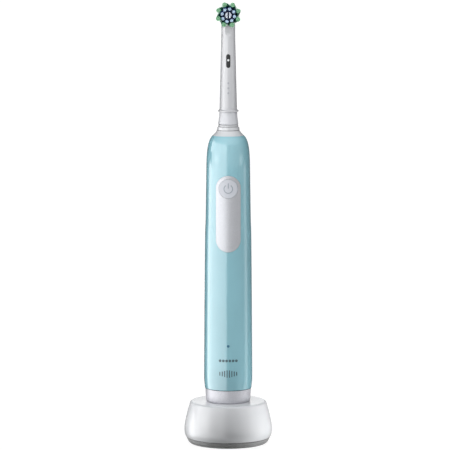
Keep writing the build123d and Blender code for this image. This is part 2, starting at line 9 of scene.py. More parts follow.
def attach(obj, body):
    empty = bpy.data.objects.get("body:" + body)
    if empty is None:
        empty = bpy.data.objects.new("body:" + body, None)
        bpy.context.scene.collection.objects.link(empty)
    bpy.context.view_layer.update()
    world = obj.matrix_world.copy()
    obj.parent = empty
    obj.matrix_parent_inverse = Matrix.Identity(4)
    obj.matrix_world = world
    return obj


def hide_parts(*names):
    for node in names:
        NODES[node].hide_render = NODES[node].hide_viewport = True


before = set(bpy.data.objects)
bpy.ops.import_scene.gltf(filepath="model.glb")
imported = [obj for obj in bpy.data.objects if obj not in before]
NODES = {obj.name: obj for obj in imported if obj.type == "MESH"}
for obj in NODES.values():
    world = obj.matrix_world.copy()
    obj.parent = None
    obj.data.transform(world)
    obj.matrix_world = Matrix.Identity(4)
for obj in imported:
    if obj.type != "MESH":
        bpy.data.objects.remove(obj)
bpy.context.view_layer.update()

MM = 0.001

# ---- places, in millimetres, as in the CAD model -------------------------
DISC_Z = 252.0
DISC_FACE_Y = -4.4
BRISTLE_END_Y = -12.0
FILAMENT_RADIUS = 0.115
FILAMENT_PITCH = 0.235
BUTTON_Z = 151.6
BAR_MARK_Z = 43.2
BAR_STEP = 1.4
BARS = 8
DOT_MARK_Z = 50.9
DOT_STEP = 1.9
DOTS = 6
CAPSULE_LOW_Z = 221.2
CAPSULE_HIGH_Z = 229.2
CAPSULE_DOT_Z = 225.7
NECK_DOTS_Z = (206.6, 209.5, 212.4)

# ---- colours, linear ------------------------------------------------------
SHELL_BLUE = (0.265, 0.525, 0.60)
WHITE = (0.62, 0.63, 0.65)
# The neck's white below is a darker copy of WHITE: painted shade on the brush head's neck.
NECK_SHADED_WHITE = (0.52, 0.525, 0.545)
SOFT_WHITE = (0.52, 0.53, 0.56)
CHARGER_WHITE = (0.84, 0.85, 0.87)

# Rings of painted seam shade: name, radius, foot, head, colour, body.
SEAM_THICK = 0.15
SEAM_SHADE_RINGS = (
    ("cap_seam_shade", 13.48, 32.82, 33.2, (0.03, 0.07, 0.085), "handle"),
    ("charger_seam_shade", 24.62, 3.82, 4.18, (0.10, 0.10, 0.10), "charger"),
    ("neck_foot_seam_shade", 6.52, 184.62, 184.93, (0.20, 0.20, 0.21), "handle"),
    ("neck_seam_shade", 5.84, 186.72, 187.08, (0.25, 0.25, 0.26), "handle"),
    ("head_seam_shade", 5.72, 187.78, 188.0, (0.25, 0.25, 0.26), "handle"),
)


def rgba(colour):
    return (colour[0], colour[1], colour[2], 1.0)


# ---- materials -------------------------------------------------------------
class Recipe:
    """A material with its shader and the coordinates that its textures share."""

    def __init__(self, name):
        self.material = bpy.data.materials.new(name)
        self.material.use_nodes = True
        self.tree = self.material.node_tree
        self.shader = self.tree.nodes["Principled BSDF"]
        self.coordinates = self.tree.nodes.new("ShaderNodeTexCoord").outputs["Object"]

    def set(self, **sockets):
        for name, value in sockets.items():
            socket = self.shader.inputs[name.replace("_", " ")]
            socket.default_value = value

    def node(self, kind, **settings):
        made = self.tree.nodes.new(kind)
        for name, value in settings.items():
            setattr(made, name, value)
        return made

    def link(self, output, target):
        self.tree.links.new(output, target)

    def stretched(self, scale):
        """The shared coordinates, scaled by three numbers."""
        mapping = self.node("ShaderNodeMapping")
        mapping.inputs["Scale"].default_value = scale
        self.link(self.coordinates, mapping.inputs["Vector"])
        return mapping.outputs["Vector"]

    def noise(self, scale, detail=2.0, stretch=(1, 1, 1)):
        made = self.node("ShaderNodeTexNoise")
        made.inputs["Scale"].default_value = scale
        made.inputs["Detail"].default_value = detail
        self.link(self.stretched(stretch), made.inputs["Vector"])
        return made.outputs["Fac"]

    def wave(self, scale, axis="Z", distortion=0.0):
        made = self.node("ShaderNodeTexWave", bands_direction=axis)
        made.inputs["Scale"].default_value = scale
        made.inputs["Distortion"].default_value = distortion
        self.link(self.coordinates, made.inputs["Vector"])
        return made.outputs["Fac"]

    def ramp(self, factor, *stops):
        """Colours along a factor; each stop is (place, colour)."""
        made = self.node("ShaderNodeValToRGB")
        elements = made.color_ramp.elements
        while len(elements) < len(stops):
            elements.new(0.5)
        for element, (place, colour) in zip(elements, stops):
            element.position = place
            element.color = rgba(colour)
        self.link(factor, made.inputs["Fac"])
        return made.outputs["Color"]

    def colour(self, output):
        self.link(output, self.shader.inputs["Base Color"])

    def roughness(self, factor, low, high):
        spread = self.node("ShaderNodeMapRange")
        spread.inputs["To Min"].default_value = low
        spread.inputs["To Max"].default_value = high
        self.link(factor, spread.inputs["Value"])
        self.link(spread.outputs["Result"], self.shader.inputs["Roughness"])

    def bump(self, height, depth, strength=1.0):
        made = self.node("ShaderNodeBump")
        made.inputs["Distance"].default_value = depth
        made.inputs["Strength"].default_value = strength
        self.link(height, made.inputs["Height"])
        self.link(made.outputs["Normal"], self.shader.inputs["Normal"])


def tinted(colour, factor):
    return tuple(min(1.0, channel * factor) for channel in colour)


def gloss_shell():
    """Lacquered coloured plastic: even, deep and nearly mirror smooth."""
    made = Recipe("gloss_shell")
    made.set(Coat_Weight=0.8, Coat_Roughness=0.06, Coat_IOR=1.6, Specular_IOR_Level=0.6)
    cloud = made.noise(38.0, 3.0)
    made.colour(made.ramp(cloud, (0.3, tinted(SHELL_BLUE, 0.97)), (0.7, tinted(SHELL_BLUE, 1.03))))
    made.roughness(made.noise(160.0, 3.0), 0.16, 0.22)
    made.bump(made.noise(420.0, 1.0), 0.000004)
    return made.material


def moulded(name, colour, rough, grain=900.0, depth=0.00001, coat=0.0, spread=0.03):
    """Moulded plastic or rubber with a faint grain and an uneven polish."""
    made = Recipe(name)
    made.set(Coat_Weight=coat, Coat_Roughness=0.06)
    cloud = made.noise(55.0, 3.0)
    made.colour(made.ramp(cloud, (0.3, tinted(colour, 1 - spread)), (0.7, tinted(colour, 1 + spread))))
    made.roughness(made.noise(220.0, 3.0), rough - 0.04, rough + 0.05)
    made.bump(made.noise(grain, 2.0), depth)
    return made.material


def metal(name, colour, rough, stretch=(1, 1, 30), scale=400.0, metallic=1.0, depth=0.000004):
    """Turned or drawn metal with fine marks along one direction."""
    made = Recipe(name)
    made.set(Metallic=metallic)
    marks = made.noise(scale, 4.0, stretch)
    made.colour(made.ramp(marks, (0.25, tinted(colour, 0.88)), (0.75, tinted(colour, 1.06))))
    made.roughness(marks, rough - 0.07, rough + 0.1)
    made.bump(marks, depth)
    return made.material


def winding(name):
    """Enamelled copper wire, wound in close turns."""
    made = Recipe(name)
    made.set(Metallic=0.9, Coat_Weight=0.5)
    turns = made.wave(900.0, "Z", 0.4)
    made.colour(made.ramp(turns, (0.1, (0.20, 0.06, 0.02)), (0.8, (0.75, 0.32, 0.13))))
    made.roughness(turns, 0.25, 0.4)
    made.bump(turns, 0.00008)
    return made.material


def circuit(name):
    """Solder mask with paler copper tracks under it."""
    made = Recipe(name)
    made.set(Coat_Weight=0.4, Coat_Roughness=0.2)
    tracks = made.node("ShaderNodeTexBrick")
    tracks.inputs["Scale"].default_value = 260.0
    tracks.inputs["Mortar Size"].default_value = 0.06
    tracks.inputs["Color1"].default_value = rgba((0.010, 0.13, 0.045))
    tracks.inputs["Color2"].default_value = rgba((0.014, 0.16, 0.06))
    tracks.inputs["Mortar"].default_value = rgba((0.10, 0.32, 0.12))
    turned = made.node("ShaderNodeMapping")
    turned.inputs["Rotation"].default_value = (math.pi / 2, 0, 0)
    made.link(made.coordinates, turned.inputs["Vector"])
    made.link(turned.outputs["Vector"], tracks.inputs["Vector"])
    made.colour(tracks.outputs["Color"])
    made.roughness(made.noise(300.0), 0.3, 0.42)
    made.bump(tracks.outputs["Fac"], 0.00003)
    return made.material


def cell_sleeve(name):
    """Shrunk plastic sleeve round the cell, slightly rippled."""
    made = Recipe(name)
    made.set(Coat_Weight=0.3)
    ripple = made.noise(180.0, 2.0, (1, 1, 0.2))
    made.colour(made.ramp(ripple, (0.3, (0.02, 0.15, 0.085)), (0.7, (0.03, 0.20, 0.11))))
    made.roughness(ripple, 0.25, 0.38)
    made.bump(ripple, 0.00003)
    return made.material


def clear_guide(name):
    """Tinted translucent light guide."""
    made = Recipe(name)
    made.set(Transmission_Weight=0.35, IOR=1.49)
    cloud = made.noise(700.0, 2.0)
    made.colour(made.ramp(cloud, (0.3, (0.10, 0.28, 0.42)), (0.7, (0.13, 0.33, 0.48))))
    made.roughness(cloud, 0.12, 0.22)
    made.bump(cloud, 0.000005)
    return made.material


def tuft_plate(name):
    """Tuft carrier: painted shade in dark blue and dark green where the tufts stand, and its own pale
    green-white at its rim.
    """
    made = Recipe(name)
    made.set(Specular_IOR_Level=0.3)
    centred = made.node("ShaderNodeMapping")
    centred.inputs["Location"].default_value = (0, 0, -DISC_Z * MM)
    centred.inputs["Scale"].default_value = (1, 0, 1)
    made.link(made.coordinates, centred.inputs["Vector"])
    distance = made.node("ShaderNodeVectorMath", operation="LENGTH")
    made.link(centred.outputs["Vector"], distance.inputs[0])
    spread = made.node("ShaderNodeMapRange")
    spread.inputs["From Max"].default_value = 10 * MM
    made.link(distance.outputs["Value"], spread.inputs["Value"])
    # The navy and dark green bands are painted shade between the tufts; the pale rim is the disc's own
    # white.
    made.colour(made.ramp(
        spread.outputs["Result"],
        (0.44, (0.0, 0.04, 0.24)),
        (0.48, (0.0, 0.12, 0.10)),
        (0.54, (0.05, 0.22, 0.15)),
        (0.57, (0.74, 0.88, 0.80)),
    ))
    made.roughness(made.noise(220.0, 3.0), 0.26, 0.36)
    made.bump(made.noise(900.0, 2.0), 0.000005)
    return made.material


def bristle(name, root, side, tip, tip_share):
    """Nylon filaments, painted shade darkening them down in the tuft, and pale at their cut and rounded
    tips.
    """
    made = Recipe(name)
    made.set(Specular_IOR_Level=0.2)
    parts = made.node("ShaderNodeSeparateXYZ")
    made.link(made.coordinates, parts.inputs["Vector"])
    along = made.node("ShaderNodeMapRange")
    along.inputs["From Min"].default_value = DISC_FACE_Y * MM
    along.inputs["From Max"].default_value = BRISTLE_END_Y * MM
    made.link(parts.outputs["Y"], along.inputs["Value"])
    # The root and side colours darken the filaments as painted shade inside the tuft.
    stops = ((0.0, root), (tip_share, side), (min(0.99, tip_share + 0.13), tip))
    shade = made.ramp(along.outputs["Result"], *stops)
    strands = made.noise(2600.0, 1.0, (1, 0.03, 1))
    varied = made.node("ShaderNodeMix", data_type="RGBA", blend_type="MULTIPLY")
    varied.inputs["Factor"].default_value = 1.0
    made.link(shade, varied.inputs["A"])
    made.link(made.ramp(strands, (0.3, (0.72, 0.72, 0.72)), (0.7, (1.15, 1.15, 1.15))), varied.inputs["B"])
    made.colour(varied.outputs["Result"])
    made.roughness(strands, 0.25, 0.4)
    return made.material


def paint(nodes, material):
    for name in nodes:
        mesh = NODES[name].data
        mesh.materials.clear()
        mesh.materials.append(material)


def paint_nodes():
    """Every CAD node gets the finish of the piece that it is."""
    white = moulded("white_gloss", WHITE, 0.22, grain=500.0, depth=0.000004, coat=0.8, spread=0.01)
    soft = metal("soft_touch", SOFT_WHITE, 0.37, (1, 1, 1), 2600.0, 0.36)
    nylon = moulded("nylon", (0.74, 0.71, 0.62), 0.45, depth=0.00002)
    steel = metal("drawn_steel", (0.62, 0.62, 0.64), 0.3)
    rubber_and_seam_shade = moulded("black_rubber", (0.022, 0.022, 0.024), 0.75, grain=1500.0, depth=0.00003)
    black = moulded("black_plastic", (0.02, 0.02, 0.022), 0.45, grain=1800.0, depth=0.00001)
    paint(["handle_shell"], gloss_shell())
    paint(["neck_cap"], white)
    # The neck gets a darker copy of the white gloss as painted shade.
    paint(["head_tube"], moulded("neck_shaded_white", NECK_SHADED_WHITE, 0.2, grain=500.0, depth=0.000004,
                                 coat=0.9, spread=0.01))
    paint(["charger_shell"], moulded("charger_white", CHARGER_WHITE, 0.25, grain=500.0, depth=0.000004,
                                     coat=0.4, spread=0.01))
    paint(["id_ring"], moulded("ring_white", (0.60, 0.61, 0.64), 0.3, coat=0.2, spread=0.01))
    paint(["brush_disc"], tuft_plate("tuft_plate"))
    paint(["grip_panel"], soft)
    paint(["power_button"], moulded("button_face", (0.60, 0.62, 0.67), 0.36, grain=2600.0, depth=0.000012))
    paint(["bottom_cap"], metal("silver_lacquer", (0.60, 0.60, 0.64), 0.34, (1, 1, 1), 1800.0, 0.2))
    paint(["charger_base"], moulded("base_grey", (0.42, 0.42, 0.42), 0.6, grain=1200.0, depth=0.00004))
    paint(["rubber_feet", "bottom_seal", "shaft_seal", "cord_gland"], rubber_and_seam_shade)
    paint(["drive_shaft", "crank_wire", "disc_axle", "gear_axle", "crank_pin", "rocker_pin"], steel)
    paint(["motor_screws", "battery_contacts"], metal("nickel", (0.66, 0.62, 0.56), 0.25, (1, 1, 1)))
    paint(["motor_can"], metal("zinc_can", (0.55, 0.56, 0.58), 0.35, (30, 30, 1)))
    paint(["motor_armature"], metal("laminations", (0.40, 0.38, 0.37), 0.45, (0.3, 0.3, 20)))
    paint(["lower_bushing", "upper_bushing"],
          metal("sintered_bronze", (0.50, 0.34, 0.15), 0.5, (1, 1, 1), 2600.0))
    paint(["primary_coil", "secondary_coil"], winding("copper_winding"))
    paint(["coil_leads", "motor_leads"], metal("tinned_copper", (0.62, 0.35, 0.20), 0.35, (1, 1, 1)))
    paint(["ferrite_rod", "motor_magnets"], moulded("ferrite", (0.030, 0.029, 0.031), 0.6, 2200.0, 0.00003))
    paint(["circuit_board", "charger_board"], circuit("solder_mask"))
    paint(["board_chips", "charger_board_parts", "switch_body", "motor_end_cap"], black)
    paint(["crank_gear", "drive_pinion", "connecting_link", "rocker_arm", "drive_socket"], nylon)
    paint(["coil_bobbin", "primary_bobbin", "chassis", "wire_guide", "switch_plunger"],
          moulded("carrier_plastic", (0.34, 0.36, 0.38), 0.5, depth=0.00002))
    paint(["battery_cell"], cell_sleeve("cell_sleeve"))
    paint(["light_pipe", "led_chip"], clear_guide("light_guide"))


# ---- mesh helpers ----------------------------------------------------------
def new_piece(name, points, faces, material, body, smooth=True):
    """A mesh piece from points in millimetres that rides a body."""
    mesh = bpy.data.meshes.new(name)
    mesh.from_pydata([[c * MM for c in point] for point in points], [], faces)
    mesh.update()
    mesh.materials.append(material)
    piece = bpy.data.objects.new(name, mesh)
    bpy.context.scene.collection.objects.link(piece)
    for face in mesh.polygons:
        face.use_smooth = smooth
    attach(piece, body)
    return piece


def front_finder(node):
    """A function that gives the front surface's depth of a CAD node at a place (x, z), in millimetres."""
    tree = BVHTree.FromPolygons(
        [vertex.co for vertex in NODES[node].data.vertices],
        [face.vertices for face in NODES[node].data.polygons],
    )

    def depth(x, z):
        hit = tree.ray_cast(Vector((x * MM, -0.1, z * MM)), Vector((0, 1, 0)))[0]
        return hit.y / MM

    return depth


def inlay(name, shapes, depth, material, body, proud=0.03, sunk=0.05):
    """Thin printed shapes that follow a surface.

    Each shape is rows of places (x, z) across it, and says whether its last row joins its first.
    """
    points, faces = [], []
    for rows, closed in shapes:
        first = len(points)
        across = len(rows[0])
        for row in rows:
            for x, z in row:
                y = depth(x, z)
                points += [(x, y - proud, z), (x, y + sunk, z)]
        count = len(rows)

        def spot(row, column):
            return first + 2 * ((row % count) * across + column)

        for row in range(count if closed else count - 1):
            for column in range(across - 1):
                a, b = spot(row, column), spot(row + 1, column)
                faces += [(a, b, b + 2, a + 2), (a + 1, a + 3, b + 3, b + 1)]
            a, b = spot(row, 0), spot(row + 1, 0)
            faces.append((a, a + 1, b + 1, b))
            a, b = spot(row, across - 1), spot(row + 1, across - 1)
            faces.append((a, b, b + 1, a + 1))
        if not closed:
            for column in range(across - 1):
                a, b = spot(0, column), spot(count - 1, column)
                faces += [(a, a + 2, a + 3, a + 1), (b, b + 1, b + 3, b + 2)]
    return new_piece(name, points, faces, material, body, smooth=False)


def spread_row(x_low, x_high, z, steps=6):
    return [(x_low + (x_high - x_low) * index / steps, z) for index in range(steps + 1)]


def bar_strip(x, low, high, width):
    """Upright bar as a strip of left and right edges."""
    steps = 6
    rows = []
    for index in range(steps + 1):
        z = low + (high - low) * index / steps
        rows.append(spread_row(x - width / 2, x + width / 2, z, 2))
    return rows, False


def arc_strip(x, z, inner, outer, start, end, steps=48):
    """Part of a ring from one angle to another, or a whole one."""
    radii = [inner + (outer - inner) * share / 3 for share in range(4)]
    closed = end - start >= 360
    count = steps if closed else steps + 1
    rows = []
    for index in range(count):
        angle = math.radians(start + (end - start) * index / steps)
        ray = (math.cos(angle), math.sin(angle))
        rows.append([(x + radius * ray[0], z + radius * ray[1]) for radius in radii])
    return rows, closed


def disc_strip(x, z, radius):
    return arc_strip(x, z, 0.04 * radius, radius, 0, 360, 24)


def capsule_strip(x, low, high, width):
    """Upright stadium as rows from its foot to its head."""
    half = width / 2
    rows = []
    steps = 10
    for index in range(steps + 1):
        angle = math.pi / 2 * index / steps
        rows.append((low + half - half * math.cos(angle), half * math.sin(angle)))
    for index in range(steps + 1):
        angle = math.pi / 2 * index / steps
        rows.append((high - half + half * math.sin(angle), half * math.cos(angle)))
    return [spread_row(x - max(wide, 0.02), x + max(wide, 0.02), z) for z, wide in rows], False


# ---- printed marks ---------------------------------------------------------
def handle_marks():
    """Plain rows of dots and bars low on the handle, in grey ink."""
    ink = moulded("grey_ink", (0.07, 0.13, 0.15), 0.4, spread=0.05)
    depth = front_finder("handle_shell")
    dots = [disc_strip(DOT_STEP * (index - (DOTS - 1) / 2), DOT_MARK_Z, 0.8) for index in range(DOTS)]
    inlay("handle_dot_row", dots, depth, ink, "handle")
    bars = []
    for index in range(BARS):
        tall = 1.1 + 0.35 * min(index, BARS - 1 - index)
        x = BAR_STEP * (index - (BARS - 1) / 2)
        bars.append(bar_strip(x, BAR_MARK_Z - tall, BAR_MARK_Z + tall, 0.62))
    inlay("handle_bar_row", bars, depth, ink, "handle")


def power_icon():
    """Open ring with an upright bar in its gap."""
    ink = moulded("icon_grey", (0.33, 0.37, 0.42), 0.5, spread=0.03)
    depth = front_finder("power_button")
    shapes = [
        arc_strip(0, BUTTON_Z, 2.2, 2.75, 125, 415),
        bar_strip(0, BUTTON_Z + 0.3, BUTTON_Z + 3.3, 0.55),
    ]
    inlay("power_icon", shapes, depth, ink, "power_button")


def neck_marks():
    """Dark capsule with a pale dot, and three small dots, on the neck of the brush head."""
    depth = front_finder("head_tube")
    black = moulded("capsule_black", (0.004, 0.005, 0.006), 0.55, spread=0.1)
    inlay("neck_capsule", [capsule_strip(0, CAPSULE_LOW_Z, CAPSULE_HIGH_Z, 2.45)], depth, black,
          "brush_head")
    pale = moulded("capsule_dot", (0.70, 0.72, 0.74), 0.3, spread=0.02)
    inlay("neck_capsule_dot", [disc_strip(0, CAPSULE_DOT_Z, 0.62)], depth, pale,
          "brush_head", proud=0.06)
    ink = moulded("neck_ink", (0.34, 0.35, 0.38), 0.4, spread=0.05)
    dots = [disc_strip(0, z, 0.6) for z in NECK_DOTS_Z]
    inlay("neck_dots", dots, depth, ink, "brush_head")


def seam_shade_ring(name, radius, low, high, colour, body):
    """Dark ring in a groove, just under the surface: painted shade of the seam."""
    steps = 96
    points, faces = [], []
    for index in range(steps):
        angle = 2 * math.pi * index / steps
        ray = (math.cos(angle), math.sin(angle))
        for reach in (radius - SEAM_THICK, radius):
            points += [(reach * ray[0], reach * ray[1], low), (reach * ray[0], reach * ray[1], high)]
    for index in range(steps):
        a, b = 4 * index, 4 * ((index + 1) % steps)
        faces += [
            (a, a + 1, b + 1, b),
            (a + 2, b + 2, b + 3, a + 3),
            (a, b, b + 2, a + 2),
            (a + 1, a + 3, b + 3, b + 1),
        ]
    # Its dark colour is painted shade in the seam.
    rubber_and_seam_shade = moulded(name + "_rubber", colour, 0.6, spread=0.05)
    new_piece(name, points, faces, rubber_and_seam_shade, body, smooth=False)


def seam_shade_rings():
    """Dark rings of painted shade in the grooves between the mouldings."""
    for place in SEAM_SHADE_RINGS:
        seam_shade_ring(*place)


# ---- bristles --------------------------------------------------------------
def filament(points, faces, root, tip, radius, bow):
    """One round filament from the disc to a rounded tip, slightly bowed."""
    sides = 6
    shares = ((0.0, 1.0), (0.5, 1.0), (0.985, 1.0), (1.0, 0.85))
    direction = (Vector(tip) - Vector(root)).normalized()
    across = direction.cross(Vector((0, 0, 1))).normalized()
    up = across.cross(direction)
    first = len(points)
    for share, size in shares:
        centre = Vector(root).lerp(Vector(tip), share) + Vector(bow) * math.sin(math.pi * share * 0.9)
        for side in range(sides):
            angle = 2 * math.pi * side / sides
            points.append(tuple(centre + (across * math.cos(angle) + up * math.sin(angle)) * radius * size))
    for ring in range(len(shares) - 1):
        for side in range(sides):
            a = first + ring * sides + side
            b = first + ring * sides + (side + 1) % sides
            faces.append((a, a + sides, b + sides, b))
    faces.append(tuple(first + side for side in range(sides)))
    last = first + (len(shares) - 1) * sides
    faces.append(tuple(last + side for side in reversed(range(sides))))


def packed_places(inside, reach, pitch):
    """Hexagonal grid of places within a shape."""
    places = []
    rows = int(reach / (pitch * 0.866)) + 1
    for row in range(-rows, rows + 1):
        for column in range(-rows - 1, rows + 2):
            u = (column + 0.5 * (row % 2)) * pitch
            v = row * pitch * 0.866
            if inside(u, v):
                places.append((u, v))
    return places


def tuft(points, faces, inside, root_middle, tip_middle, turn, length, flare, chance):
    """A bundle of filaments packed in a shape, turned by an angle in the disc's plane."""
    cosine, sine = math.cos(turn), math.sin(turn)
    for u, v in packed_places(inside, 2.4, FILAMENT_PITCH):
        u += chance.uniform(-0.03, 0.03)
        v += chance.uniform(-0.03, 0.03)
        x, z = u * cosine - v * sine, u * sine + v * cosine
        root = (root_middle[0] + x, DISC_FACE_Y + 0.1, DISC_Z + root_middle[1] + z)
        end = length + chance.uniform(-0.12, 0.08)
        wander = [chance.uniform(-0.05, 0.05) for _ in range(2)]
        tip = (
            tip_middle[0] + x * flare + wander[0],
            DISC_FACE_Y - end,
            DISC_Z + tip_middle[1] + z * flare + wander[1],
        )
        bow = (chance.uniform(-0.04, 0.04), 0, chance.uniform(-0.04, 0.04))
        filament(points, faces, root, tip, FILAMENT_RADIUS, bow)


def bristle_piece(name, points, faces, material):
    """Filaments with smooth sides and flat cut ends."""
    piece = new_piece(name, points, faces, material, "brush_disc")
    for face in piece.data.polygons:
        face.use_smooth = len(face.vertices) == 4
    return piece


def polar(radius, degrees):
    angle = math.radians(degrees)
    return radius * math.cos(angle), radius * math.sin(angle)


def ellipse(half_u, half_v):
    return lambda u, v: (u / half_u) ** 2 + (v / half_v) ** 2 <= 1.0


def outer_tufts():
    """Eight green tufts round the edge; their tips lean round the disc."""
    chance = random.Random(11)
    points, faces = [], []
    for index in range(8):
        degrees = 21.5 + 45 * index
        across, up = polar(6.35, degrees)
        tuft(points, faces, ellipse(1.08, 1.2), polar(5.2, degrees - 16), (across, up + 0.3),
             math.radians(degrees), 7.6, 1.12, chance)
    green = bristle("green_filaments", (0.0, 0.12, 0.075), (0.0, 0.20, 0.09), (0.31, 0.62, 0.38), 0.78)
    piece = bristle_piece("outer_tufts", points, faces, green)
    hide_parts("bristles_outer")


def middle_tufts():
    """Eight blue tufts inside the green ring, leaning the other way a little."""
    chance = random.Random(12)
    points, faces = [], []
    for index in range(8):
        degrees = 33 + 45 * index
        tuft(points, faces, ellipse(0.82, 0.86), polar(3.2, degrees + 8), polar(3.65, degrees),
             math.radians(degrees), 7.3, 1.05, chance)
    blue = bristle("blue_filaments", (0.0, 0.04, 0.22), (0.005, 0.07, 0.40), (0.64, 0.82, 1.0), 0.82)
    piece = bristle_piece("middle_tufts", points, faces, blue)
    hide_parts("bristles_middle")


def centre_tufts():
    """Two white crescents, back to back with a gap."""
    chance = random.Random(13)
    points, faces = [], []
    for side in (-1, 1):
        def crescent(u, v, side=side):
            return 0.42 <= side * u and (u / 1.8) ** 2 + (v / 1.9) ** 2 <= 1.0
        tuft(points, faces, crescent, (0, 0), (0, 0), 0.0, 6.9, 1.02, chance)
    # The navy root and side colours on these white filaments are painted shade.
    white = bristle("white_filaments", (0.0, 0.04, 0.22), (0.05, 0.10, 0.45), (0.85, 0.91, 1.0), 0.76)
    piece = bristle_piece("centre_tufts", points, faces, white)
    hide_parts("bristles_centre")


# ---- studio ----------------------------------------------------------------
# Brightness of the studio wall against azimuth: 0 is on the camera's side of
# the object, negative is to its left, 180 is straight behind the object.
WALL_LOW = [
    (-180, 0.05), (-126, 0.05), (-112, 3.9), (-80, 3.6), (-9, 2.4), (-6, 0.30),
    (84, 0.30), (88, 1.15), (104, 1.15), (108, 0.10), (155, 0.05), (180, 0.9),
]
WALL_HIGH = [
    (-180, 1.3), (-174, 1.3), (-168, 0.05), (-100, 0.05), (-88, 1.5), (-50, 2.0), (-40, 1.4), (-8, 1.1),
    (0, 0.9), (60, 0.7), (85, 0.5), (100, 0.1), (168, 0.05), (174, 1.3), (180, 1.3),
]
WALL_BRIGHTEST = 5.0     # what a wall brightness of 1 in the ramp stands for
WALL_RADIUS = 0.95
WALL_FOOT = -0.40
WALL_SPLIT = 0.11
WALL_TOP = 0.62
SKY_FRONT = 1.75
SKY_BACK = 0.05
FLOOR_GLOW_NEAR = 0.93
BOUNCE_FRONT = 0.10      # how pale the floor under the pale one is, before the object
BOUNCE_BACK = 0.85       # and behind and beside it
BOUNCE_ASIDE = 4.0       # how much sooner it gets pale sideways than backwards
BOUNCE_SIZE = 0.94
FLOOR_SIZE = 12.0
CARD_REACH = (45, 125)
CARD_RADIUS = 0.10
CARD_TOP = 0.014
LEFT_CARD_LIGHT = 3.2
RIGHT_CARD_LIGHT = 7.5
FLAG_REACH = (-42, 30)
FLAG_RADIUS = 0.06
FLAG_TOP = 0.046
# Boxes that only show as reflections: name, azimuths, foot, head, brightness.
SOFT_BOXES = (
    ("left_tall_box", -112, -9, 0.215, 0.60, 2.9),
    ("left_middle_box", -99, -9, 0.11, 0.215, 2.6),
    ("left_neck_box", -78, -50, 0.13, 0.21, 4.4),
    ("right_neck_box", 60, 80, 0.12, 0.21, 1.8),
)
HEAD_CARD_REACH = (-70, 70)
HEAD_CARD_RADIUS = 0.09
HEAD_CARD_LOW = 0.262
HEAD_CARD_HIGH = 0.31
HEAD_CARD_LIGHT = 2.4

# Camera: place in metres, degrees below level, and focal length.
EYE = (-0.0019, -1.700, 0.325)
LOOKING_DOWN = 6.574
LENS = 234.1


def studio_world():
    """White to the camera, softer as light."""
    world = bpy.data.worlds.new("studio_world")
    bpy.context.scene.world = world
    world.use_nodes = True
    tree = world.node_tree
    seen = tree.nodes["Background"]
    seen.inputs["Color"].default_value = (1, 1, 1, 1)
    seen.inputs["Strength"].default_value = 1.0
    lit = tree.nodes.new("ShaderNodeBackground")
    lit.inputs["Color"].default_value = (0.97, 0.985, 1, 1)
    place = tree.nodes.new("ShaderNodeTexCoord")
    parts = tree.nodes.new("ShaderNodeSeparateXYZ")
    tree.links.new(place.outputs["Generated"], parts.inputs["Vector"])
    spread = tree.nodes.new("ShaderNodeMapRange")
    spread.inputs["From Min"].default_value = -1.0
    spread.inputs["From Max"].default_value = 0.6
    spread.inputs["To Min"].default_value = SKY_FRONT
    spread.inputs["To Max"].default_value = SKY_BACK
    tree.links.new(parts.outputs["Y"], spread.inputs["Value"])
    tree.links.new(spread.outputs["Result"], lit.inputs["Strength"])
    path = tree.nodes.new("ShaderNodeLightPath")
    either = tree.nodes.new("ShaderNodeMixShader")
    tree.links.new(path.outputs["Is Camera Ray"], either.inputs["Fac"])
    tree.links.new(lit.outputs["Background"], either.inputs[1])
    tree.links.new(seen.outputs["Background"], either.inputs[2])
    tree.links.new(either.outputs["Shader"], tree.nodes["World Output"].inputs["Surface"])


def round_sheet(name, radius, low, high, start, end, material, steps=120):
    """Upright sheet bent round the object from one azimuth to another, unseen by the camera."""
    points, faces = [], []
    for index in range(steps + 1):
        angle = math.radians(start + (end - start) * index / steps - 90)
        for height in (low, high):
            points.append((radius * math.cos(angle), radius * math.sin(angle), height))
    for index in range(steps):
        a, b = 2 * index, 2 * index + 2
        faces.append((a, a + 1, b + 1, b))
    mesh = bpy.data.meshes.new(name)
    mesh.from_pydata(points, [], faces)
    mesh.materials.append(material)
    made = bpy.data.objects.new(name, mesh)
    bpy.context.scene.collection.objects.link(made)
    made.visible_camera = False
    return made


def glowing(name):
    """An emission material and its tree, output and emission node."""
    material = bpy.data.materials.new(name)
    material.use_nodes = True
    tree = material.node_tree
    tree.nodes.clear()
    glow = tree.nodes.new("ShaderNodeEmission")
    output = tree.nodes.new("ShaderNodeOutputMaterial")
    tree.links.new(glow.outputs["Emission"], output.inputs["Surface"])
    return material, tree, glow


def light_ramp(tree, factor, stops):
    ramp = tree.nodes.new("ShaderNodeValToRGB")
    elements = ramp.color_ramp.elements
    while len(elements) < len(stops):
        elements.new(0.5)
    for element, (azimuth, light) in zip(elements, stops):
        element.position = 0.5 + azimuth / 360
        element.color = rgba([light / WALL_BRIGHTEST] * 3)
    tree.links.new(factor, ramp.inputs["Fac"])
    return ramp.outputs["Color"]


